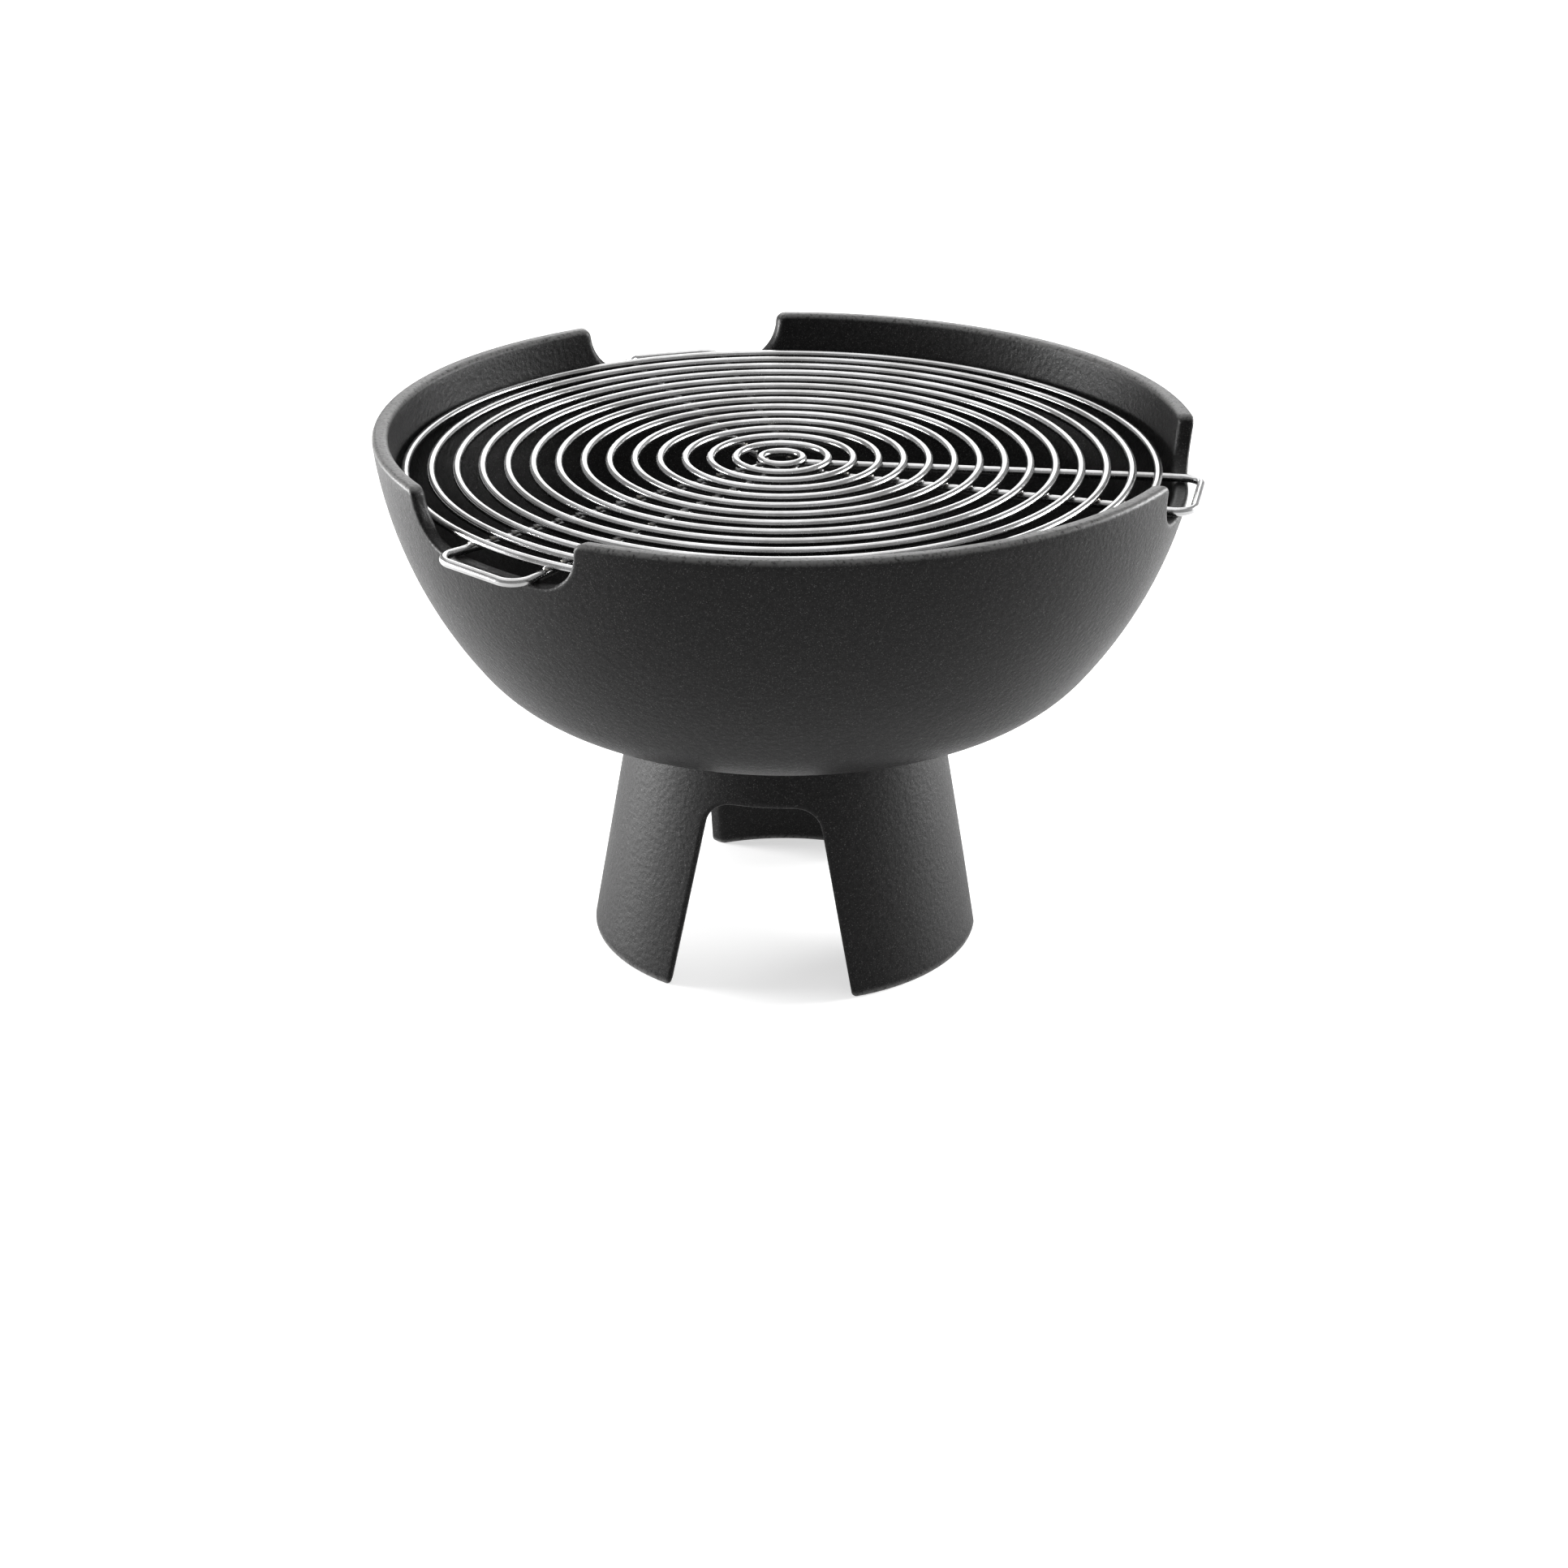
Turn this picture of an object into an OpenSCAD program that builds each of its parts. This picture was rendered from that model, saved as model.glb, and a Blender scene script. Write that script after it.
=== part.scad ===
// Table-top cast-iron charcoal grill: round bowl on a hollow three-arched foot,
// with a lift-off cooking grate of concentric wire rings and a charcoal grate.
// Millimetres. +Z up, the origin is on the ground under the bowl's centre.

/* [Bowl] */
// Outside diameter of the bowl at its rim
bowl_d = 390; // [320:1:480]
// Height of the rim above the ground
rim_z = 261; // [240:1:330]
// Thickness of the bowl's wall
wall_t = 7.5; // [5:0.5:10]
// Lean of the wall at the rim, from vertical
rim_lean = 5.6; // [2:0.1:10]
// Radius of the wall's upper curve
side_r = 206; // [180:1:260]
// Lean of the wall where the upper curve ends
side_lean = 38; // [32:0.5:44]
// Radius of the tight curve at the bowl's shoulder
shoulder_r = 72; // [55:1:90]
// Lean of the wall where the shoulder ends and the shallow floor starts
floor_lean = 73.7; // [70:0.1:77]
// Rounding of the rim's outer edge
rim_round = 2.5; // [1:0.1:3]

/* [Rim notches] */
// Direction of the first notch, anticlockwise from +X
notch_turn = 107; // [0:1:119]
// Width of each notch
notch_w = 102; // [90:1:130]
// Depth of each notch below the rim
notch_depth = 24.8; // [20:0.1:40]
// Radius of the notch's bottom corners
notch_fillet = 22; // [8:1:22]
// Rounding of the rim's corners at each side of a notch
notch_lip = 5; // [2:0.5:8]

/* [Foot] */
// Outside diameter of the foot on the ground
foot_d = 192.6; // [160:0.1:240]
// Inward slope of the foot's wall, as run over rise
foot_slope = 0.1767; // [0.05:0.0001:0.25]
// Thickness of the foot's wall
foot_t = 7.5; // [5:0.5:10]
// Rounding of the foot's outer bottom edge
foot_round = 3.5; // [1:0.5:4]
// Direction of the first arch, anticlockwise from +X
arch_turn = 22; // [0:1:119]
// Metal left between an arch's top and the foot's bolting flange
arch_gap = 5.2; // [4:0.1:40]
// Width of each arch on the ground
arch_w = 88.8; // [60:0.1:96]
// Inward slope of an arch's sides, as run over rise
arch_slope = 0.196; // [0:0.001:0.22]
// Radius of an arch's top corners
arch_fillet = 14; // [5:1:18]
// Rounding of a leg's bottom corners at an arch
leg_round = 3; // [1:0.5:5]
// How far the top of the foot's bolting flange lies below the bowl
seat_drop = 4.9; // [3:0.1:8]
// Thickness of the bolting flange
flange_t = 8; // [6:0.5:9]
// Metal between a washer and the opening in the bolting flange
flange_lip = 4; // [3:0.5:8]

/* [Foot bolts] */
// Direction of the first bolt, anticlockwise from +X
bolt_turn = 82; // [0:1:119]
// Gap between a bolt's boss and the inside of the foot's wall
boss_gap = 1.4; // [1:0.1:3]
// Diameter of a bolt's shank
bolt_d = 8; // [6:1:8]
// Width across a bolt head's or nut's flats
hex_w = 13; // [12:0.5:14]
// Height of a bolt's head
head_h = 5.3; // [4:0.1:6]
// Height of a nut
nut_h = 6.5; // [5:0.1:7]
// Diameter of a washer
washer_d = 16; // [14:1:18]
// Thickness of a washer
washer_t = 1.6; // [1:0.1:2]
// Length of bolt that stands out below its nut
bolt_tail = 3; // [1:0.5:5]
// Diameter of the bowl's three bolt bosses
boss_d = 20; // [18:0.5:24]

/* [Charcoal grate] */
// How far the charcoal grate's edge lies in from the rim's outside
coal_inset = 91; // [88:0.5:100]
// Thickness of the charcoal grate
coal_grate_t = 7; // [5:0.5:10]
// Underside of the charcoal grate above the middle of the bowl's floor
coal_rise = 18.6; // [18:0.1:24]
// Width of a slot in the charcoal grate
slot_w = 8; // [6:0.5:10]
// Spacing of the slots
slot_pitch = 16; // [14:0.5:20]
// Width of the charcoal grate's solid edge
coal_edge = 11; // [8:0.5:16]
// Width of the bar across the charcoal grate's middle
coal_bar = 12; // [8:0.5:16]
// Diameter of the three lugs that carry the charcoal grate
lug_d = 16; // [10:1:18]
// How far a lug's middle lies in from the charcoal grate's edge
lug_inset = 10; // [8:0.5:14]

/* [Cooking grate] */
// Thickness of the wire
wire_d = 4; // [3:0.1:5]
// Number of rings
rings = 15; // [15:1:15]
// Radius of the smallest ring, to the wire's centre
ring_r = 10; // [9:0.5:12]
// How far the largest ring, to the wire's centre, lies in from the rim
grate_inset = 17; // [16:0.5:24]
// How far the resting grate sits off the bowl's centre along X
grate_shift = -2; // [-2:0.5:2]
// How far the resting grate is turned from the notches
grate_turn = 0.7; // [-3:0.1:3]
// How far a handle's outer bar lies outside the rim, to the wire's centre
handle_stick = 2.5; // [0:0.5:20]
// Width between a handle's two wires at the outermost ring
handle_w = 47.8; // [40:0.1:54]
// Width between a handle's two wires if they ran on to the centre
handle_root_w = 12; // [11:0.1:16]
// Bend radius at a handle's corners
handle_bend = 9; // [6:0.5:12]
// Gap between neighbouring handle wires at their inner ends
wire_gap = 0.4; // [0.3:0.1:3]

/* [Fits] */
// Gap between the foot's top edge and the bowl
foot_gap = 0.3; // [0.1:0.1:1]
// Gap under a part that rests loose, once it is set down
rest_gap = 0.2; // [0:0.1:0.5]
// Depth to which a weld melts one wire into another
weld_bite = 0.1; // [0:0.05:0.3]
// Clearance around a bolt in its holes
bolt_clear = 0.5; // [0.2:0.1:1]

/* [Hidden] */
$fn = 96;

// How many straight steps a rounded corner of a cut-out is made of.
arc_steps = 10;

// The bowl's section: three tangent arcs, each centre written as [radius, z].
function arc_at(centre, r, lean) =
    [centre[0] + r * cos(lean), centre[1] - r * sin(lean)];
rim_r = bowl_d / 2;
side_c = [rim_r - side_r * cos(rim_lean), rim_z + side_r * sin(rim_lean)];
side_end = arc_at(side_c, side_r, side_lean);
shoulder_c = [side_end[0] - shoulder_r * cos(side_lean),
    side_end[1] + shoulder_r * sin(side_lean)];
shoulder_end = arc_at(shoulder_c, shoulder_r, floor_lean);
floor_r = shoulder_end[0] / cos(floor_lean);
floor_cz = shoulder_end[1] + floor_r * sin(floor_lean);

// The rim's two edge roundings have their centres on one line across the wall.
rim_line = asin((side_r * sin(rim_lean) + rim_round) / (side_r - rim_round));
side_in_r = side_r - wall_t;
rim_round_in = (side_in_r * sin(rim_line) - side_r * sin(rim_lean))
    / (1 - sin(rim_line));
rim_out_c = arc_at(side_c, side_r - rim_round, rim_line);
rim_in_c = arc_at(side_c, side_in_r + rim_round_in, rim_line);

// Height of the bowl's floor, outside and inside, at a distance from the axis.
function floor_out_z(r) = floor_cz - sqrt(floor_r * floor_r - r * r);
function floor_in_z(r) = floor_cz - sqrt(pow(floor_r - wall_t, 2) - r * r);

// The turned shapes start between a bolt and a leg's edge, clear of any cut.
seam_turn = bolt_turn - 17;

// Outside radius of the foot at a height, and the inside of its wall.
slant = sqrt(1 + foot_slope * foot_slope);
function foot_r(z) = foot_d / 2 - foot_slope * z;
function foot_in_r(z) = foot_r(z) - foot_t * slant;

// Places of the fitted pieces.
seat_z = floor_out_z(0) - seat_drop;
flange_z = seat_z - flange_t;
arch_h = flange_z - arch_gap;
bolt_ring_r = foot_in_r(floor_out_z(foot_r(seat_z))) - boss_d / 2 - boss_gap;
boss_top = floor_out_z(bolt_ring_r) + wall_t / 2;
flange_hole_d = 2 * (bolt_ring_r - washer_d / 2 - flange_lip);
coal_grate_d = bowl_d - 2 * coal_inset;
coal_grate_z = floor_in_z(0) + coal_rise;
lug_ring_r = coal_grate_d / 2 - lug_inset;
head_z = floor_in_z(bolt_ring_r) - 1.6;
spot_r = hex_w / sqrt(3) + 2.5;
bolt_low = flange_z - washer_t - nut_h - bolt_tail;
lug_top = coal_grate_z - rest_gap;
lug_low = floor_in_z(lug_ring_r) - wall_t / 2;
wire_r = wire_d / 2;
notch_z = rim_z - notch_depth;
wire_z = notch_z + rest_gap + wire_r;
ring_z = wire_z + wire_d - weld_bite;

// The handle wires spread evenly from root to handle.
outer_ring_r = rim_r - grate_inset;
ring_pitch = (outer_ring_r - ring_r) / (rings - 1);
handle_reach = rim_r + handle_stick;
spread = (handle_w - handle_root_w) / 2 / outer_ring_r;
spread_a = atan(spread);
wire_start = (wire_d + wire_gap + handle_root_w / 2) / (sqrt(3) - spread);
bend_u = handle_reach - handle_bend;
bend_v = handle_root_w / 2 + spread * bend_u - handle_bend / cos(spread_a);

foot_edge_c = [foot_d / 2 - foot_slope * foot_round - foot_round * slant,
    foot_round];

// A point at a distance and a direction from a centre.
function at(centre, r, a) = centre + r * [cos(a), sin(a)];

// The corners along one straight side of a pie slice.
function side_of(centre, r, a) = [centre, at(centre, r, a), at(centre, 3 * r, a)];

// A pie slice of a circle between two directions. Its neighbours share the
// corners that side_of() gives, so that the pieces meet without a gap.
module pie(centre, r, a, b) {
    intersection() {
        translate(centre) circle(r = r, $fn = 64);
        polygon([centre, at(centre, r, a), at(centre, 3 * r, a),
            at(centre, 3 * r, (a + b) / 2), at(centre, 3 * r, b),
            at(centre, r, b)]);
    }
}

// A run of points round a centre from one direction to another.
function sweep(centre, r, a, b) =
    [for (i = [0:arc_steps]) at(centre, r, a + (b - a) * i / arc_steps)];

// A flat ring about a centre, cut to an outline.
module band(centre, r, outline) {
    intersection() {
        translate(centre) difference() {
            circle(r = r, $fn = 180);
            circle(r = r - wall_t, $fn = 180);
        }
        polygon(outline);
    }
}

module bowl_section() {
    past = 12;
    side_out = arc_at(side_c, side_r + past, side_lean);
    side_in = arc_at(side_c, side_in_r - past, side_lean);
    floor_out = arc_at(shoulder_c, shoulder_r + past, floor_lean);
    floor_in = arc_at(shoulder_c, shoulder_r - wall_t - past, floor_lean);
    out = side_of(rim_out_c, rim_round, -rim_line);
    in = side_of(rim_in_c, rim_round_in, 180 - rim_line);
    band(side_c, side_r, [out[2], out[1], out[0], in[0], in[1], in[2],
        side_in, side_out]);
    band(shoulder_c, shoulder_r, [side_out, side_in, floor_in, floor_out]);
    band([0, floor_cz], floor_r, [floor_out, floor_in,
        [0, floor_in_z(0) + past], [0, floor_out_z(0) - past]]);
    pie(rim_out_c, rim_round, -rim_line, 90);
    pie(rim_in_c, rim_round_in, 90, 180 - rim_line);
    polygon([rim_out_c, at(rim_out_c, rim_round, 90),
        at(rim_in_c, rim_round_in, 90), rim_in_c]);
}

// Three of a thing, turned evenly about the axis from a first direction.
module three(turn) {
    for (i = [0:2])
        rotate([0, 0, turn + 120 * i]) children();
}

// A prism that lies along +X from x0 to x1, its outline drawn in Y and Z.
module along_x(x0, x1) {
    translate([x0, 0, 0]) rotate([90, 0, 90])
        linear_extrude(height = x1 - x0) children();
}

// Outline that a notch removes: rounded below, flared at the rim. Where the
// two roundings would overlap in height, they touch without a straight side.
module notch_cut() {
    low = notch_z + notch_fillet;
    lip = rim_z - notch_lip;
    flat = notch_w / 2 - notch_fillet;
    both = notch_fillet + notch_lip;
    drop = min(0, lip - low);
    turn = asin(drop / both);
    wide = flat + both * cos(turn);
    polygon(concat(sweep([-flat, low], notch_fillet, 180 - turn, 270),
        sweep([flat, low], notch_fillet, -90, turn),
        sweep([wide, lip], notch_lip, 180 + turn, 90),
        [[wide, rim_z + 9], [-wide, rim_z + 9]],
        sweep([-wide, lip], notch_lip, 90, -turn)));
}

module bowl() {
    color("#2e2d2e") difference() {
        union() {
            rotate([0, 0, seam_turn]) rotate_extrude($fn = 180) bowl_section();
            three(bolt_turn) translate([bolt_ring_r, 0, seat_z])
                cylinder(d = boss_d, h = boss_top - seat_z);
            three(arch_turn) translate([lug_ring_r, 0, lug_low])
                cylinder(d = lug_d, h = lug_top - lug_low);
        }
        three(notch_turn) along_x(rim_r - 45, rim_r + 20) notch_cut();
        three(bolt_turn) translate([bolt_ring_r, 0, 0]) {
            translate([0, 0, seat_z - 1])
                cylinder(d = bolt_d + 2 * bolt_clear, h = 40);
            translate([0, 0, head_z]) cylinder(r = spot_r, h = 20);
        }
    }
}

module foot_section() {
    top = floor_out_z(foot_r(floor_out_z(0))) + 6;
    tilt = atan(foot_slope);
    across = foot_t * slant;
    difference() {
        polygon(concat(sweep(foot_edge_c, foot_round, -90, tilt),
            [[foot_r(top), top], [foot_r(top) - across, top],
            [foot_r(seat_z) - across, seat_z], [flange_hole_d / 2, seat_z],
            [flange_hole_d / 2, flange_z], [foot_r(flange_z) - across, flange_z],
            [foot_r(0) - across, 0]]));
        translate([0, floor_cz]) circle(r = floor_r + foot_gap, $fn = 360);
    }
}

// Outline that an arch removes: sloping sides, rounded at top and bottom.
module arch_cut() {
    half = arch_w / 2;
    tilt = atan(arch_slope);
    lean = sqrt(1 + arch_slope * arch_slope);
    cz = arch_h - arch_fillet;
    cv = half - arch_slope * cz - arch_fillet * lean;
    lv = half - arch_slope * leg_round + leg_round * lean;
    polygon(concat([[-lv, -20], [lv, -20]],
        sweep([lv, leg_round], leg_round, 270, 180 + tilt),
        sweep([cv, cz], arch_fillet, tilt, 90),
        sweep([-cv, cz], arch_fillet, 90, 180 - tilt),
        sweep([-lv, leg_round], leg_round, -tilt, -90)));
}

module foot() {
    color("#2b2a2b") difference() {
        rotate([0, 0, seam_turn]) rotate_extrude($fn = 180) foot_section();
        three(arch_turn) along_x(20, foot_d / 2 + 20) arch_cut();
        three(bolt_turn) translate([bolt_ring_r, 0, flange_z - 1])
            cylinder(d = bolt_d + 2 * bolt_clear, h = flange_t + 2);
    }
}

module hexagon(h) {
    cylinder(r = hex_w / sqrt(3), h = h, $fn = 6);
}

module foot_bolts() {
    color("#8d8f92") three(bolt_turn) translate([bolt_ring_r, 0, 0]) {
        translate([0, 0, head_z]) hexagon(head_h);
        translate([0, 0, bolt_low])
            cylinder(d = bolt_d, h = head_z + head_h / 2 - bolt_low);
    }
}

module foot_washers() {
    color("#a3a5a8") three(bolt_turn)
        translate([bolt_ring_r, 0, flange_z - washer_t]) difference() {
            cylinder(d = washer_d, h = washer_t);
            translate([0, 0, -1])
                cylinder(d = bolt_d + bolt_clear, h = washer_t + 2);
        }
}

module foot_nuts() {
    color("#97999c") three(bolt_turn)
        translate([bolt_ring_r, 0, flange_z - washer_t - nut_h]) difference() {
            hexagon(nut_h);
            translate([0, 0, -1]) cylinder(d = bolt_d + 0.1, h = nut_h + 2);
        }
}

module charcoal_grate() {
    reach = coal_grate_d / 2 - coal_edge - slot_w / 2;
    count = floor((coal_grate_d / 2 - coal_edge - slot_w) / slot_pitch);
    color("#343231") translate([0, 0, coal_grate_z])
        linear_extrude(height = coal_grate_t) difference() {
            circle(d = coal_grate_d, $fn = 180);
            for (i = [-count:count], s = [-1, 1]) {
                y = i * slot_pitch;
                x0 = coal_bar / 2 + slot_w / 2;
                x1 = sqrt(reach * reach - y * y);
                translate([s * x0, y]) circle(d = slot_w, $fn = 32);
                translate([s * x1, y]) circle(d = slot_w, $fn = 32);
                translate([s * (x0 + x1) / 2, y])
                    square([x1 - x0, slot_w], center = true);
            }
        }
}

// Everything on the cooking grate is drawn about the grate's own centre.
module on_grate() {
    translate([grate_shift, 0, 0]) children();
}

module grate_ring(n) {
    color("#c9cbcd") on_grate() translate([0, 0, ring_z])
        rotate_extrude($fn = 180)
            translate([ring_r + (n - 1) * ring_pitch, 0])
                circle(r = wire_r, $fn = 32);
}

// One wire bent into a handle loop, with two legs that run in under the rings.
// A slight swell where a bend meets a straight run keeps it in one piece.
module handle_wire(n) {
    leg_u = bend_u - handle_bend * sin(spread_a);
    joint_r = wire_r + 0.05;
    leg_l = (leg_u - wire_start) / cos(spread_a);
    color("#c4c6c8") on_grate() translate([0, 0, wire_z])
        rotate([0, 0, notch_turn + grate_turn + 120 * n]) {
            for (s = [-1, 1]) {
                translate([wire_start,
                    s * (handle_root_w / 2 + spread * wire_start), 0])
                    rotate([0, 90, s * spread_a])
                        cylinder(r = wire_r, h = leg_l, $fn = 32);
                translate([bend_u, s * bend_v, 0])
                    rotate([0, 0, s > 0 ? 0 : -90 - spread_a])
                        rotate_extrude(angle = 90 + spread_a, $fn = 96)
                            translate([handle_bend, 0])
                                circle(r = wire_r, $fn = 32);
                translate([leg_u, s * (handle_root_w / 2 + spread * leg_u), 0])
                    rotate([0, 90, s * spread_a])
                        cylinder(r = joint_r, h = 1, center = true, $fn = 32);
                translate([handle_reach, s * bend_v, 0]) rotate([90, 0, 0])
                    cylinder(r = joint_r, h = 1, center = true, $fn = 32);
            }
            translate([handle_reach, -bend_v, 0]) rotate([-90, 0, 0])
                cylinder(r = wire_r, h = 2 * bend_v, $fn = 32);
        }
}

module handle_wire_back() { handle_wire(0); }
module handle_wire_left() { handle_wire(1); }
module handle_wire_right() { handle_wire(2); }

bowl();
foot();
foot_bolts();
foot_washers();
foot_nuts();
charcoal_grate();
handle_wire_back();
handle_wire_left();
handle_wire_right();
grate_ring(1);  // grate_ring_01
grate_ring(2);  // grate_ring_02
grate_ring(3);  // grate_ring_03
grate_ring(4);  // grate_ring_04
grate_ring(5);  // grate_ring_05
grate_ring(6);  // grate_ring_06
grate_ring(7);  // grate_ring_07
grate_ring(8);  // grate_ring_08
grate_ring(9);  // grate_ring_09
grate_ring(10);  // grate_ring_10
grate_ring(11);  // grate_ring_11
grate_ring(12);  // grate_ring_12
grate_ring(13);  // grate_ring_13
grate_ring(14);  // grate_ring_14
grate_ring(15);  // grate_ring_15
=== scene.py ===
import math

import bmesh
import bpy
from mathutils import Matrix, Vector


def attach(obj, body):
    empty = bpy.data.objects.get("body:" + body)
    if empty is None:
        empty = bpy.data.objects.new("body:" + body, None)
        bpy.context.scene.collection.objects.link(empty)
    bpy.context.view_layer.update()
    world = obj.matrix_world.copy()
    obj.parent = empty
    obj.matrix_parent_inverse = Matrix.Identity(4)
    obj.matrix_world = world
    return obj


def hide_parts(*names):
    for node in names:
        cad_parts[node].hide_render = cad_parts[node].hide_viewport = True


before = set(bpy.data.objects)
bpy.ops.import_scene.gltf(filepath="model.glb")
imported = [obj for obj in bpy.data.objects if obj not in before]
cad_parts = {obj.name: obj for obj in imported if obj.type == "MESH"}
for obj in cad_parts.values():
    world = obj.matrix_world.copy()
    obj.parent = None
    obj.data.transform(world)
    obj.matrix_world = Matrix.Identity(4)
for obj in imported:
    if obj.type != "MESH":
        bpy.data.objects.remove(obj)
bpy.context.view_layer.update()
print("frame: " + str(len(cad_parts)) + " nodes")

mm = 0.001
mergeGap = 0.000002        # points closer than this are one point


# Materials. Wire is one shader socket that Python arithmetic works on.
class Wire:
    def __init__(self, paint, socket):
        self.paint = paint
        self.socket = socket

    def maths(self, operation, first, second):
        return self.paint.node("ShaderNodeMath", {"operation": operation}, {0: first, 1: second})

    def __add__(self, other):
        return self.maths("ADD", self, other)

    def __radd__(self, other):
        return self.maths("ADD", other, self)

    def __sub__(self, other):
        return self.maths("SUBTRACT", self, other)

    def __rsub__(self, other):
        return self.maths("SUBTRACT", other, self)

    def __mul__(self, other):
        return self.maths("MULTIPLY", self, other)

    def __rmul__(self, other):
        return self.maths("MULTIPLY", other, self)


class Paint:
    def __init__(self, name):
        self.material = bpy.data.materials.new(name)
        self.material.use_nodes = True
        self.tree = self.material.node_tree
        self.tree.nodes.clear()
        self.place = self.node("ShaderNodeTexCoord", {}, {}, "Object")

    def node(self, kind, settings, sockets, out=0):
        made = self.tree.nodes.new(kind)
        for key, value in settings.items():
            setattr(made, key, value)
        for key, value in sockets.items():
            if isinstance(value, Wire):
                self.tree.links.new(value.socket, made.inputs[key])
            else:
                made.inputs[key].default_value = value
        return Wire(self, made.outputs[out]) if len(made.outputs) else made

    def noise(self, scale, detail=3.0, rough=0.55, at=None):
        sockets = {"Vector": at or self.place, "Scale": scale, "Detail": detail,
                   "Roughness": rough}
        return self.node("ShaderNodeTexNoise", {}, sockets)

    def between(self, value, low, high):
        sockets = {"Value": value, "From Min": low, "From Max": high}
        settings = {"interpolation_type": "SMOOTHSTEP"}
        return self.node("ShaderNodeMapRange", settings, sockets)

    def blend(self, mask, first, second):
        sockets = {0: mask, 6: first, 7: second}
        return self.node("ShaderNodeMix", {"data_type": "RGBA"}, sockets, 2)

    def axis(self, name):
        return self.node("ShaderNodeSeparateXYZ", {}, {0: self.place}, name)

    def bump(self, height, distance):
        return self.node("ShaderNodeBump", {}, {"Height": height, "Distance": distance})

    def finish(self, colour, rough, normal, metallic, shine=0.5, glow=0.0):
        sockets = {"Base Color": colour, "Roughness": rough, "Metallic": metallic,
                   "Specular IOR Level": shine}
        if normal:
            sockets["Normal"] = normal
        if glow:
            sockets["Emission Color"] = (1, 1, 1, 1)
            sockets["Emission Strength"] = glow
        shader = self.node("ShaderNodeBsdfPrincipled", {}, sockets)
        self.node("ShaderNodeOutputMaterial", {}, {"Surface": shader})
        return self.material


ironLook = {
    "dark": (0.0022, 0.0021, 0.0022, 1),       # oiled black in the hollows of the grain
    "light": (0.0065, 0.0063, 0.0064, 1),      # its grey on the high grain
    "paintedGlint": (0.085, 0.083, 0.082, 1),         # bright specks painted in for the grain's sparkle: painted glints
    "wearAndHighlight": (0.11, 0.109, 0.108, 1),         # rim and feet: wear where hands and ground touch, and on the rim's top also a painted highlight for the lip's bright line
    "ash": (0.12, 0.115, 0.11, 1),             # dust on the charcoal grate
    "grain": 560.0,
    "fineGrain": 1700.0,
    "pits": 360.0,
    "bump": 0.00034,
    "shine": 0.12,
}


def castIron(name, roughness, wearAndHighlightFrom, wearAndHighlightTo, dust=0.0):
    look = ironLook
    paint = Paint(name)
    cloud = paint.noise(14.0, 4.0)
    grain = paint.noise(look["grain"], 2.0, 0.6)
    fine = paint.noise(look["fineGrain"], 2.0, 0.7)
    pits = paint.node("ShaderNodeTexVoronoi", {"feature": "SMOOTH_F1"},
                      {"Vector": paint.place, "Scale": look["pits"], "Smoothness": 0.6})
    height = grain * 0.5 + fine * 0.22 + pits * 0.35
    high = paint.between(grain + cloud * 0.3, 0.5, 0.85)
    # painted glints: small bright specks of colour that stand in for the sparkle of light on the
    # grain
    paintedGlints = paint.between(fine, 0.59, 0.68)
    colour = paint.blend(high, look["dark"], look["light"])
    colour = paint.blend(paintedGlints * 0.5, colour, look["paintedGlint"])
    # lighter colour in a height band: wear on the feet, and on the bowl's rim top partly a painted
    # highlight
    wearAndHighlight = paint.between(paint.axis("Z"), wearAndHighlightFrom, wearAndHighlightTo) * paint.between(grain, 0.2, 0.55)
    colour = paint.blend(wearAndHighlight * 0.85, colour, look["wearAndHighlight"])
    if dust:
        patches = paint.between(paint.noise(60.0, 5.0), 0.45, 0.75)
        colour = paint.blend(patches * dust, colour, look["ash"])
    rough = roughness + (cloud - 0.5) * 0.16 + (grain - 0.5) * 0.2
    rough = rough - paintedGlints * 0.18 - wearAndHighlight * 0.06
    normal = paint.bump(height, look["bump"])
    return paint.finish(colour, rough, normal, 0.0, look["shine"])


steelLook = {
    "colour": (0.44, 0.44, 0.445, 1),
    "shade": (0.30, 0.298, 0.295, 1),
    "straw": (0.26, 0.23, 0.18, 1),            # heat tint beside a weld
    "bump": 0.00001,
}


def drawnSteel(name, roughness, stretch, tint=0.0):
    look = steelLook
    paint = Paint(name)
    spread = paint.node("ShaderNodeMapping", {}, {"Vector": paint.place, "Scale": stretch})
    streaks = paint.noise(1.0, 3.0, 0.6, spread)
    patches = paint.noise(38.0, 4.0)
    scuffs = paint.between(paint.noise(900.0, 3.0, 0.7), 0.6, 0.7)
    worn = paint.between(patches + streaks * 0.4, 0.45, 0.95)
    colour = paint.blend(worn, look["shade"], look["colour"])
    if tint:
        heat = paint.between(paint.noise(220.0, 3.0), 0.4, 0.65)
        colour = paint.blend(heat * tint, colour, look["straw"])
    rough = roughness + (streaks - 0.5) * 0.10 + (patches - 0.5) * 0.08 + scuffs * 0.10
    normal = paint.bump(streaks * 0.6 + scuffs * 0.4, look["bump"])
    return paint.finish(colour, rough, normal, 1.0)


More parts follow.
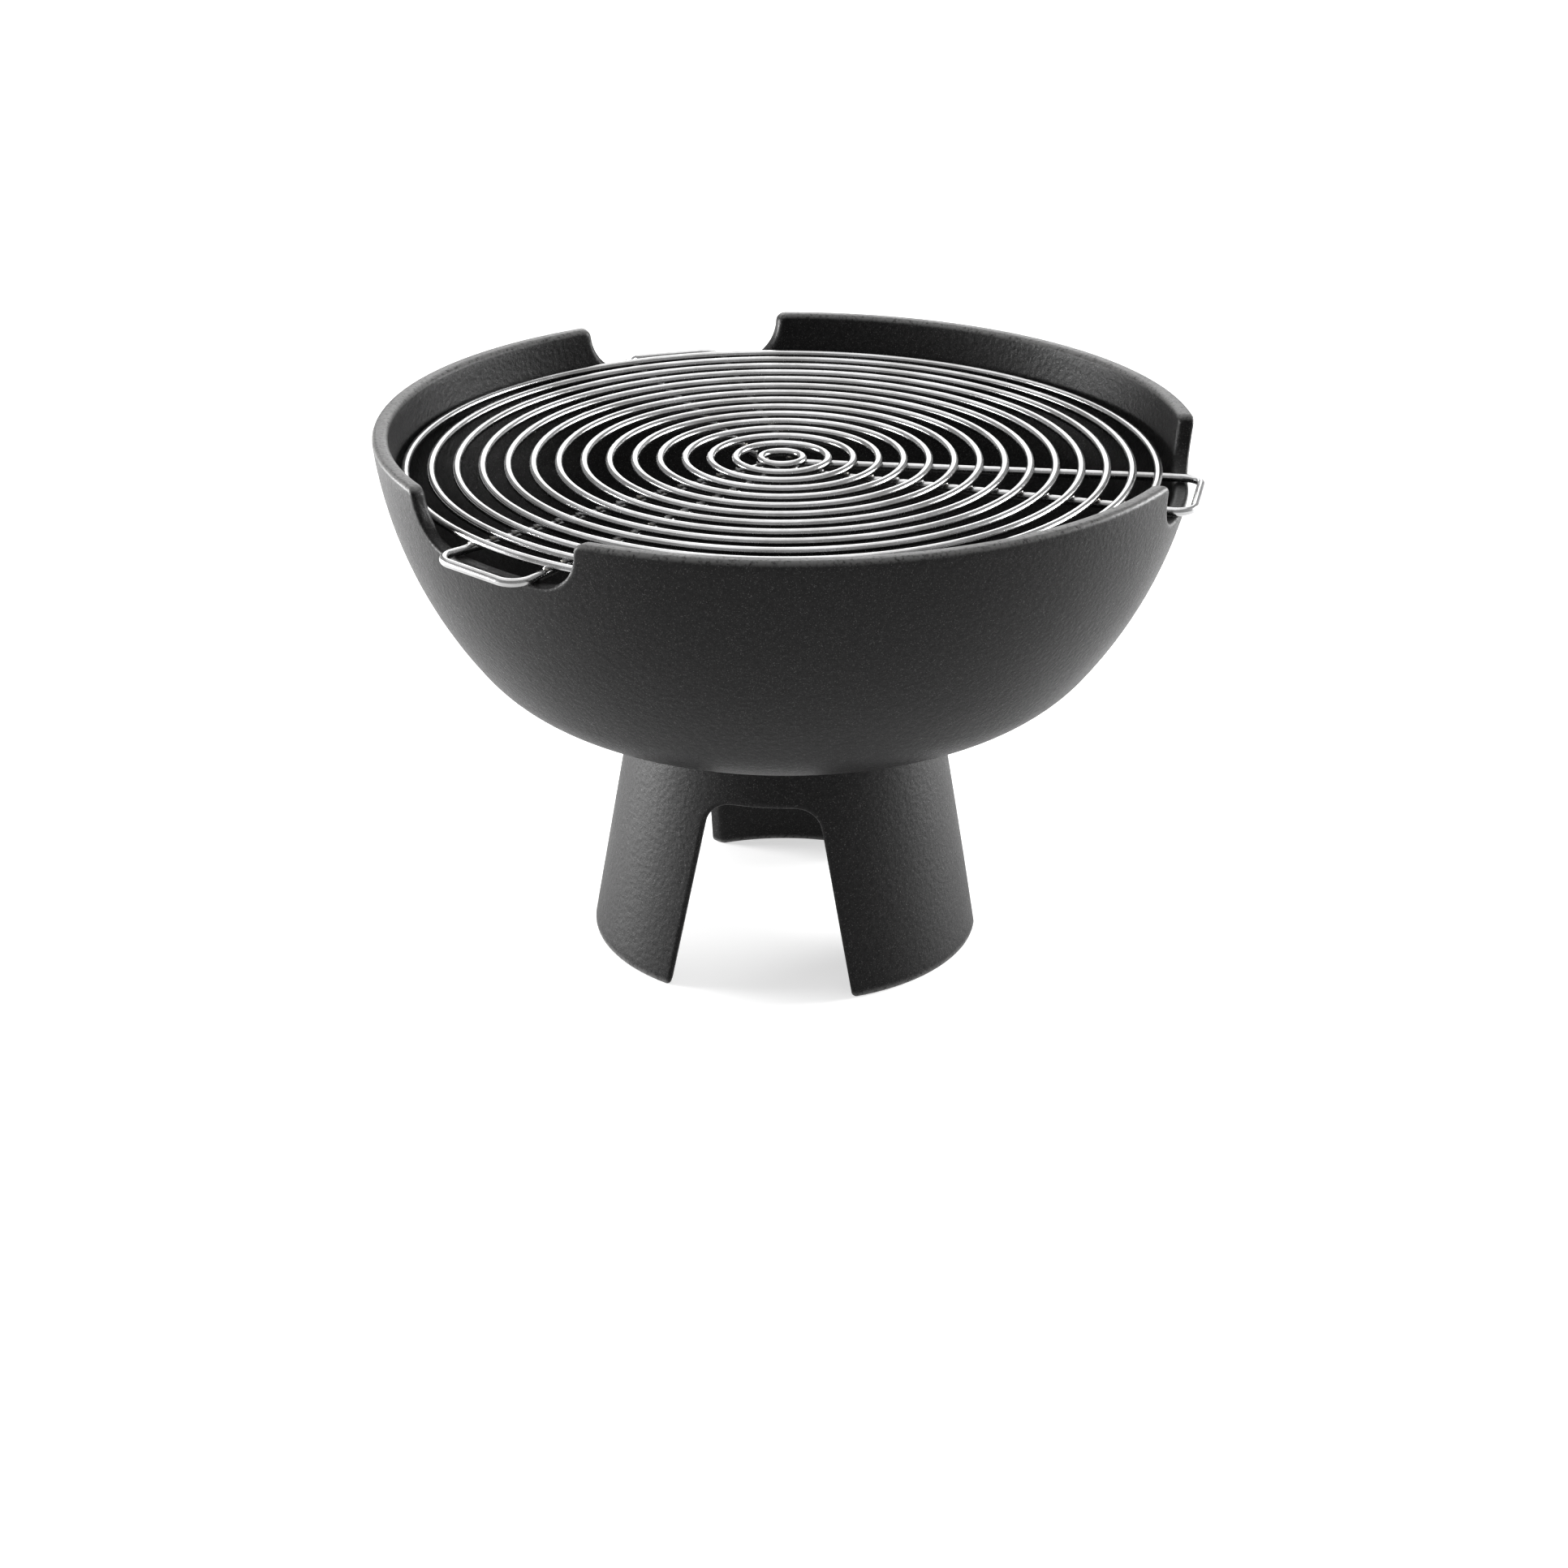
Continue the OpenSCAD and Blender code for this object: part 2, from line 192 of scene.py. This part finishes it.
# Meshes.
def makePiece(bm, name, material, body, replaced, sharp=38, turnOut=False):
    bmesh.ops.remove_doubles(bm, verts=bm.verts, dist=mergeGap)
    bmesh.ops.dissolve_degenerate(bm, edges=bm.edges, dist=mergeGap / 2)
    if turnOut:
        bmesh.ops.recalc_face_normals(bm, faces=bm.faces)
    for face in bm.faces:
        face.smooth = True
    mesh = bpy.data.meshes.new(name)
    bm.to_mesh(mesh)
    bm.free()
    mesh.set_sharp_from_angle(angle=math.radians(sharp))
    mesh.materials.append(material)
    piece = bpy.data.objects.new(name, mesh)
    bpy.context.scene.collection.objects.link(piece)
    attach(piece, body)
    if replaced:
        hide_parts(*replaced)
    print("made " + name)
    return piece


def bend(centre, r, start, end, steps, side):
    # points [across, height] round a centre, each with the direction that leads into the metal
    run = []
    for i in range(steps + 1):
        a = math.radians(start + (end - start) * i / steps)
        way = (math.cos(a), math.sin(a))
        run.append((centre[0] + r * way[0], centre[1] + r * way[1],
                    side * way[0], side * way[1]))
    return run


def between(first, last, steps, way):
    # the points strictly between two, on a straight side
    run = []
    for i in range(1, steps):
        t = i / steps
        run.append((first[0] + (last[0] - first[0]) * t, first[1] + (last[1] - first[1]) * t,
                    way[0], way[1]))
    return run


def wallGrid(shape, half, outer, inner, before, after):
    # One closed casting wall with three cut-outs, as a grid bent into place. A column
    # follows each point of the cut-out's edge. The rows run up the outside, over the
    # rounded edge and down the inside.
    outZ = half[-1][1]
    outAt = math.asin(half[-1][0] / outer(outZ))
    inAt = math.asin(half[-1][0] / inner(outZ))
    columns = [(point, None, None) for point in half]
    for i in range(1, shape["levelSteps"] + 1):
        t = i / shape["levelSteps"]
        end = math.radians(60)
        columns.append(((0, outZ, 0, half[-1][3]),
                        outAt + (end - outAt) * t, inAt + (end - inAt) * t))
    order = []
    for k in range(3):
        base = math.radians(shape["turn"] + 120 * k)
        order += [(c, -1, base) for c in reversed(columns[1:])]
        order += [(c, 1, base) for c in columns[:-1]]
    order.append(order[0])

    def swing(column, depth, r):               # the column's angle at that depth from the edge
        point, wayOut, wayIn = column
        z = point[1] + point[3] * depth
        if wayOut is None:
            return math.asin((point[0] + point[2] * depth) / r), z
        t = (outer(z) - r) / (outer(z) - inner(z))
        return wayOut + (wayIn - wayOut) * t, z

    edge, slides, rounds = shape["edge"], shape["slideSteps"], shape["roundSteps"]
    rows = [("level", outer, spot) for spot in before]
    rows += [("slide", outer, (before[-1][1], i / slides)) for i in range(1, slides + 1)]
    rows += [("round", outer, math.radians(90 * i / rounds)) for i in range(1, rounds + 1)]
    rows += [("round", inner, math.radians(90 * i / rounds)) for i in range(rounds, 0, -1)]
    rows += [("slide", inner, (after[0][1], i / slides)) for i in range(slides, 0, -1)]
    rows += [("level", inner, spot) for spot in after]

    def spotAt(column, sign, base, row):
        kind, wall, data = row
        z = column[0][1] + column[0][3] * edge
        angle, z = swing(column, edge, wall(z))
        if kind == "level":
            r, z = data
        elif kind == "slide":
            z = data[0] + (z - data[0]) * data[1]
            r = wall(z)
        else:
            depth = edge * (1 - math.sin(data))
            z = column[0][1] + column[0][3] * depth
            r = wall(z) + edge * (1 - math.cos(data)) * (1 if wall is inner else -1)
            angle, z = swing(column, depth, r)
        turn = base + sign * angle
        return Vector((r * math.cos(turn) * mm, r * math.sin(turn) * mm, z * mm))

    bm = bmesh.new()
    wide, tall = len(order) - 1, len(rows) - 1
    bmesh.ops.create_grid(bm, x_segments=wide, y_segments=tall, size=0.5)
    for vert in bm.verts:
        column, sign, base = order[round((vert.co.x + 0.5) * wide)]
        vert.co = spotAt(column, sign, base, rows[round((vert.co.y + 0.5) * tall)])
    return bm


def addDrum(bm, x, y, low, high, r, corner, sides=40):
    # an upright round boss with rounded ends, added to a mesh
    made = bmesh.ops.create_cone(bm, cap_ends=True, segments=sides, radius1=r * mm, radius2=r * mm,
                                 depth=(high - low) * mm)
    verts = made["verts"]
    bmesh.ops.translate(bm, verts=verts, vec=Vector((x, y, (low + high) / 2)) * mm)
    rims = [e for e in bm.edges if e.verts[0] in verts and e.verts[1] in verts
            and abs(e.verts[0].co.z - e.verts[1].co.z) < 1e-7]
    bmesh.ops.bevel(bm, geom=rims, offset=corner * mm, segments=3, profile=0.5,
                    affect="EDGES", material=-1)


def polar(r, degrees):
    return r * math.cos(math.radians(degrees)), r * math.sin(math.radians(degrees))


bowlShape = {
    "rimR": 194.95, "rimZ": 261.0, "wall": 7.5,
    "rimLean": 5.6, "sideR": 206.0, "sideLean": 38.0, "shoulderR": 72.0, "floorLean": 73.7,
    "turn": 107.0, "notchWide": 102.0, "notchDeep": 24.8, "notchFillet": 22.0, "notchLip": 5.0,
    "edge": 2.4, "levelSteps": 16, "slideSteps": 8, "roundSteps": 5,
    "arcSteps": (12, 18, 12), "levelLean": 15.5,   # level rows start below the notches
    "flatSteps": 7, "filletSteps": 14, "lipSteps": 8,
    "bossR": 10.0, "bossAt": 56.04, "bossTurn": 82.0, "bossLow": 108.0, "bossHigh": 121.0,
    "lugR": 8.0, "lugAt": 94.0, "lugTurn": 22.0, "lugLow": 130.0, "lugHigh": 138.8,
}


def bowlArcs(shape):
    # the wall's three curves, as (centre r, centre z, radius, first lean, last lean)
    lean = math.radians(shape["rimLean"])
    first = (shape["rimR"] - shape["sideR"] * math.cos(lean),
             shape["rimZ"] + shape["sideR"] * math.sin(lean))
    lean = math.radians(shape["sideLean"])
    step = shape["sideR"] - shape["shoulderR"]
    second = (first[0] + step * math.cos(lean), first[1] - step * math.sin(lean))
    lean = math.radians(shape["floorLean"])
    floorR = second[0] / math.cos(lean) + shape["shoulderR"]
    third = second[1] + (floorR - shape["shoulderR"]) * math.sin(lean)
    return [(first[0], first[1], shape["sideR"], shape["rimLean"], shape["sideLean"]),
            (second[0], second[1], shape["shoulderR"], shape["sideLean"], shape["floorLean"]),
            (0.0, third, floorR, shape["floorLean"], 90.0)]


def makeBowl(shape, material):
    arcs = bowlArcs(shape)
    topR, topZ, sideR = arcs[0][:3]

    def outer(z):
        return topR + math.sqrt(sideR ** 2 - (z - topZ) ** 2)

    def inner(z):
        return topR + math.sqrt((sideR - shape["wall"]) ** 2 - (z - topZ) ** 2)

    def levels(thick):                         # level rows from below the notches to the middle
        spots = []
        for (cr, cz, r, start, end), steps in zip(arcs, shape["arcSteps"]):
            start = max(start, shape["levelLean"])
            for i in range(0 if start == shape["levelLean"] else 1, steps + 1):
                a = math.radians(start + (end - start) * i / steps)
                spots.append((cr + (r - thick) * math.cos(a), cz - (r - thick) * math.sin(a)))
        spots[-1] = (0.0, spots[-1][1])
        return spots

    low = shape["rimZ"] - shape["notchDeep"] + shape["notchFillet"]
    lip = shape["rimZ"] - shape["notchLip"]
    flat = shape["notchWide"] / 2 - shape["notchFillet"]
    both = shape["notchFillet"] + shape["notchLip"]
    turn = math.degrees(math.asin(min(0, lip - low) / both))
    wide = flat + both * math.cos(math.radians(turn))
    floorZ = shape["rimZ"] - shape["notchDeep"]
    half = [(0, floorZ, 0, -1)]
    half += between((0, floorZ), (flat, floorZ), shape["flatSteps"], (0, -1))
    half += bend((flat, low), shape["notchFillet"], -90, turn, shape["filletSteps"], 1)
    half += bend((wide, lip), shape["notchLip"], 180 + turn, 90, shape["lipSteps"], -1)
    rising = list(reversed(levels(0)))
    bm = wallGrid(shape, half, outer, inner, rising, levels(shape["wall"]))
    bmesh.ops.remove_doubles(bm, verts=bm.verts, dist=mergeGap)
    bmesh.ops.recalc_face_normals(bm, faces=bm.faces)
    for k in range(3):
        x, y = polar(shape["bossAt"], shape["bossTurn"] + 120 * k)
        addDrum(bm, x, y, shape["bossLow"], shape["bossHigh"], shape["bossR"], 1.0)
        x, y = polar(shape["lugAt"], shape["lugTurn"] + 120 * k)
        addDrum(bm, x, y, shape["lugLow"], shape["lugHigh"], shape["lugR"], 1.2)
    return makePiece(bm, "bowl_casting", material, "base", ["bowl"])


footShape = {
    "baseR": 96.3, "slope": 0.1767, "wall": 7.62, "topZ": 119.5, "topInZ": 118.1,
    "turn": 22.0, "archWide": 88.8, "archHigh": 94.8, "archSlope": 0.196,
    "archFillet": 14.0, "legRound": 3.0,
    "edge": 2.4, "levelSteps": 12, "slideSteps": 20, "roundSteps": 5,
    "flatSteps": 4, "filletSteps": 10, "sideSteps": 16, "legSteps": 6,
    "flangeLow": 100.0, "flangeHigh": 108.0, "flangeR": 44.0, "flangeEdge": 1.0,
    "levels": (119.5, 114, 108, 103, 99),
}


def makeFoot(shape, material):
    def outer(z):
        return shape["baseR"] - shape["slope"] * z

    def inner(z):
        return outer(z) - shape["wall"]

    tilt = math.atan(shape["archSlope"])
    lean = math.sqrt(1 + shape["archSlope"] ** 2)
    fillet, small, top = shape["archFillet"], shape["legRound"], shape["archHigh"]
    cz = top - fillet
    cv = shape["archWide"] / 2 - shape["archSlope"] * cz - fillet * lean
    lv = shape["archWide"] / 2 - shape["archSlope"] * small + small * lean
    tiltDegrees = math.degrees(tilt)
    upper = bend((cv, cz), fillet, 90, tiltDegrees, shape["filletSteps"], 1)
    lower = bend((lv, small), small, 180 + tiltDegrees, 270, shape["legSteps"], -1)
    half = [(0, top, 0, 1)] + between((0, top), upper[0], shape["flatSteps"], (0, 1)) + upper
    half += between(upper[-1], lower[0], shape["sideSteps"], (math.cos(tilt), math.sin(tilt)))
    half += lower
    before = [(outer(z), z) for z in shape["levels"]]
    flangeLow, flangeHigh, flangeR = shape["flangeLow"], shape["flangeHigh"], shape["flangeR"]
    corner, lowest, middle = shape["flangeEdge"], shape["levels"][-1], shape["levels"][1]
    after = [(inner(z), z) for z in (lowest, flangeLow)]
    after += [(flangeR + corner, flangeLow), (flangeR, flangeLow + corner)]
    after += [(flangeR, flangeHigh - corner), (flangeR + corner, flangeHigh)]
    after += [(inner(z), z) for z in (flangeHigh, middle, shape["topInZ"])]
    after += [(outer(shape["topZ"]), shape["topZ"])]
    bm = wallGrid(shape, half, outer, inner, before, after)
    return makePiece(bm, "foot_casting", material, "base", ["foot"], turnOut=True)


grateShape = {
    "wireR": 2.0, "x": -2.0, "ringZ": 242.3, "wireZ": 238.4,
    "rings": 15, "firstR": 10.0, "pitch": 12.0, "ringSteps": 192, "wireSides": 16,
    "turn": 107.7, "reach": 197.47, "handleWide": 47.8, "rootWide": 12.0,
    "bendR": 9.0, "start": 6.4,
    "legSteps": 24, "bendSteps": 14, "barSteps": 6,
}


def makeRings(shape, material):
    for n in range(shape["rings"]):
        r = shape["firstR"] + n * shape["pitch"]
        bm = bmesh.new()
        made = bmesh.ops.create_circle(bm, segments=shape["wireSides"], radius=shape["wireR"] * mm,
                                       matrix=Matrix.Rotation(math.radians(90), 4, "X"))
        bmesh.ops.translate(bm, verts=made["verts"], vec=Vector((r, 0, 0)) * mm)
        steps = max(48, round(shape["ringSteps"] * (n + 3) / (shape["rings"] + 2)))
        bmesh.ops.spin(bm, geom=bm.edges[:], cent=(0, 0, 0), axis=(0, 0, 1),
                       angle=math.radians(360), steps=steps, use_merge=True)
        bmesh.ops.translate(bm, verts=bm.verts, vec=Vector((shape["x"], 0, shape["ringZ"])) * mm)
        number = str(n + 1).zfill(2)
        makePiece(bm, "ring_wire_" + number, material, "cooking_grate",
                  ["grate_ring_" + number], sharp=60, turnOut=True)


def handleLegs(shape):
    # the two legs' slope and the centres of the corner bends, in a handle's own axes
    far = shape["firstR"] + (shape["rings"] - 1) * shape["pitch"]
    slope = (shape["handleWide"] - shape["rootWide"]) / 2 / far
    tilt = math.atan(slope)
    u = shape["reach"] - shape["bendR"]
    v = shape["rootWide"] / 2 + slope * u - shape["bendR"] / math.cos(tilt)
    return slope, tilt, u, v


def makeHandles(shape, material):
    slope, tilt, bendU, bendV = handleLegs(shape)
    legEnd = bendU - shape["bendR"] * math.sin(tilt)
    for k, side in enumerate(("back", "left", "right")):
        bm = bmesh.new()
        start = Vector((shape["start"], -(shape["rootWide"] / 2 + slope * shape["start"]), 0))
        end = Vector((legEnd, -(shape["rootWide"] / 2 + slope * legEnd), 0))
        upright = Matrix.Rotation(math.radians(90), 4, "X")
        facing = Matrix.Rotation(math.radians(90) - tilt, 4, "Z") @ upright
        bmesh.ops.create_circle(bm, segments=shape["wireSides"], radius=shape["wireR"] * mm,
                                cap_ends=True, matrix=Matrix.Translation(start * mm) @ facing)
        rim = bm.edges[:]

        def along(edges, vec, steps):
            for i in range(steps):
                made = bmesh.ops.extrude_edge_only(bm, edges=edges)["geom"]
                verts = [g for g in made if isinstance(g, bmesh.types.BMVert)]
                edges = [g for g in made if isinstance(g, bmesh.types.BMEdge)
                         and g.verts[0] in verts and g.verts[1] in verts]
                bmesh.ops.translate(bm, verts=verts, vec=vec * mm / steps)
            return edges

        def roundCorner(edges, centre, steps):
            made = bmesh.ops.spin(bm, geom=edges, cent=centre * mm, axis=(0, 0, 1),
                                  angle=math.radians(90) + tilt, steps=steps, use_merge=False)
            return [g for g in made["geom_last"] if isinstance(g, bmesh.types.BMEdge)]

        edges = along(rim, end - start, shape["legSteps"])
        edges = roundCorner(edges, Vector((bendU, -bendV, 0)), shape["bendSteps"])
        edges = along(edges, Vector((0, 2 * bendV, 0)), shape["barSteps"])
        edges = roundCorner(edges, Vector((bendU, bendV, 0)), shape["bendSteps"])
        back = Vector((start.x - end.x, -start.y + end.y, 0))
        edges = along(edges, back, shape["legSteps"])
        bmesh.ops.contextual_create(bm, geom=edges)
        place = Matrix.Translation(Vector((shape["x"], 0, shape["wireZ"])) * mm)
        turn = Matrix.Rotation(math.radians(shape["turn"] + 120 * k), 4, "Z")
        bmesh.ops.transform(bm, matrix=place @ turn, verts=bm.verts)
        makePiece(bm, "handle_loop_" + side, material, "cooking_grate",
                  ["handle_wire_" + side], sharp=50, turnOut=True)


# The height of a bead's middle is measured up from the middle of the handle's wire.
weldLook = {"wide": 2.5, "long": 1.9, "high": 1.25, "up": 1.95, "uneven": 0.12}


def makeWelds(shape, look, material):
    # a small pinched bead on each side of every crossing of a ring and a handle's leg
    slope, tilt, bendU, bendV = handleLegs(shape)
    bm = bmesh.new()
    for k in range(3):
        turn = math.radians(shape["turn"] + 120 * k)
        for n in range(shape["rings"]):
            r = shape["firstR"] + n * shape["pitch"]
            for side in (-1, 1):
                v0 = shape["rootWide"] / 2
                # where |(u, v0 + slope u)| = r
                a, b, c = 1 + slope ** 2, 2 * v0 * slope, v0 ** 2 - r ** 2
                u = (-b + math.sqrt(b * b - 4 * a * c)) / (2 * a)
                v = side * (v0 + slope * u)
                made = bmesh.ops.create_icosphere(bm, subdivisions=2, radius=mm)
                size = 1 + look["uneven"] * math.sin(7.3 * n + 2.1 * k + side)
                stretch = Matrix.Diagonal((look["long"] * size, look["wide"] * size,
                                           look["high"], 1))
                spot = Matrix.Translation(Vector((u, v, shape["wireZ"] + look["up"])) * mm)
                facing = Matrix.Rotation(side * tilt, 4, "Z")
                bmesh.ops.transform(bm, verts=made["verts"], matrix=Matrix.Rotation(turn, 4, "Z")
                                    @ spot @ facing @ stretch)
    bmesh.ops.translate(bm, verts=bm.verts, vec=Vector((shape["x"], 0, 0)) * mm)
    makePiece(bm, "grate_welds", material, "cooking_grate", [], sharp=180)


def makeFromCad(node, name, material, body, edge, sharp=30):
    # a copy of a plain CAD piece with its corners rounded off
    bm = bmesh.new()
    bm.from_mesh(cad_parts[node].data)
    bmesh.ops.remove_doubles(bm, verts=bm.verts, dist=0.000005)
    bmesh.ops.dissolve_limit(bm, angle_limit=math.radians(1.0), verts=bm.verts, edges=bm.edges)
    corners = [e for e in bm.edges
               if len(e.link_faces) == 2 and e.calc_face_angle() > math.radians(50)]
    bmesh.ops.bevel(bm, geom=corners, offset=edge * mm, segments=3, profile=0.5, affect="EDGES",
                    clamp_overlap=True, material=-1)
    bmesh.ops.triangulate(bm, faces=[f for f in bm.faces if len(f.verts) > 4])
    return makePiece(bm, name, material, body, [node], sharp=sharp)


# the bowl's band is its rim top, where the lighter colour is partly a painted highlight
bowlIron = castIron("seasoned cast iron", 0.46, 0.2583, 0.2606)
footIron = castIron("seasoned cast iron, foot", 0.52, 0.004, 0.0005)
grateIron = castIron("dry cast iron", 0.66, 0.1452, 0.146, dust=0.5)
ringSteel = drawnSteel("polished ring wire", 0.20, (220, 220, 1400))
handleSteel = drawnSteel("polished handle wire", 0.22, (260, 260, 1400))
weldSteel = drawnSteel("weld steel", 0.32, (900, 900, 900), 0.6)
zincSteel = drawnSteel("zinc plated steel", 0.36, (420, 420, 420))

makeBowl(bowlShape, bowlIron)
makeFoot(footShape, footIron)
makeRings(grateShape, ringSteel)
makeHandles(grateShape, handleSteel)
makeWelds(grateShape, weldLook, weldSteel)
makeFromCad("charcoal_grate", "charcoal_grate_casting", grateIron, "coal_grate", 1.2)
makeFromCad("foot_bolts", "hex_bolts", zincSteel, "base", 0.4)
makeFromCad("foot_nuts", "hex_nuts", zincSteel, "base", 0.4)
makeFromCad("foot_washers", "plain_washers", zincSteel, "base", 0.2)

# Floor, light and camera.
studio = {
    "floor": 14.0, "floorColour": (0.6, 0.6, 0.6, 1), "glow": 0.6, "sky": 0.55,
    "lights": [                                # name, place, target, size, power
        ("top softbox", (-0.3, 0.5, 2.4), (0, 0, 0.1), 3.2, 40),
        ("back softbox", (0.0, 2.6, 1.3), (0, 0, 0.24), 2.0, 30),
        ("right strip", (1.7, 0.65, 0.45), (0, 0, 0.16), 1.0, 80),
        ("left strip", (-1.6, 0.35, 0.12), (0, 0, 0.12), 0.9, 130),
    ],
    "camera": (0, -1.3717, 0.6900), "pitch": 24.2326, "roll": 0.117,
    "lens": 69.24, "sensor": 36, "shift": -0.0009,
}


def setStudio(look):
    bm = bmesh.new()
    bmesh.ops.create_grid(bm, x_segments=1, y_segments=1, size=look["floor"])
    mesh = bpy.data.meshes.new("floor")
    bm.to_mesh(mesh)
    bm.free()
    floor = bpy.data.objects.new("floor", mesh)
    bpy.context.scene.collection.objects.link(floor)
    paint = Paint("pale floor")
    mesh.materials.append(paint.finish(look["floorColour"], 0.9, None, 0.0, 0.0, look["glow"]))
    world = bpy.data.worlds.new("studio")
    world.use_nodes = True
    world.node_tree.nodes["Background"].inputs[0].default_value = (1, 1, 1, 1)
    world.node_tree.nodes["Background"].inputs[1].default_value = look["sky"]
    bpy.context.scene.world = world
    for name, place, target, size, power in look["lights"]:
        light = bpy.data.lights.new(name, "AREA")
        light.shape = "DISK"
        light.size = size
        light.energy = power
        lamp = bpy.data.objects.new(name, light)
        lamp.location = place
        lamp.rotation_euler = (Vector(target) - Vector(place)).to_track_quat("-Z", "Y").to_euler()
        bpy.context.scene.collection.objects.link(lamp)


def setCamera(look):
    data = bpy.data.cameras.new("camera")
    data.lens, data.sensor_width, data.shift_x = look["lens"], look["sensor"], look["shift"]
    camera = bpy.data.objects.new("camera", data)
    pitch = Matrix.Rotation(math.radians(90 - look["pitch"]), 4, "X")
    roll = Matrix.Rotation(math.radians(look["roll"]), 4, "Z")
    camera.matrix_world = Matrix.Translation(look["camera"]) @ pitch @ roll
    bpy.context.scene.collection.objects.link(camera)
    bpy.context.scene.camera = camera


setStudio(studio)
setCamera(studio)
bpy.context.scene.view_settings.view_transform = "Standard"
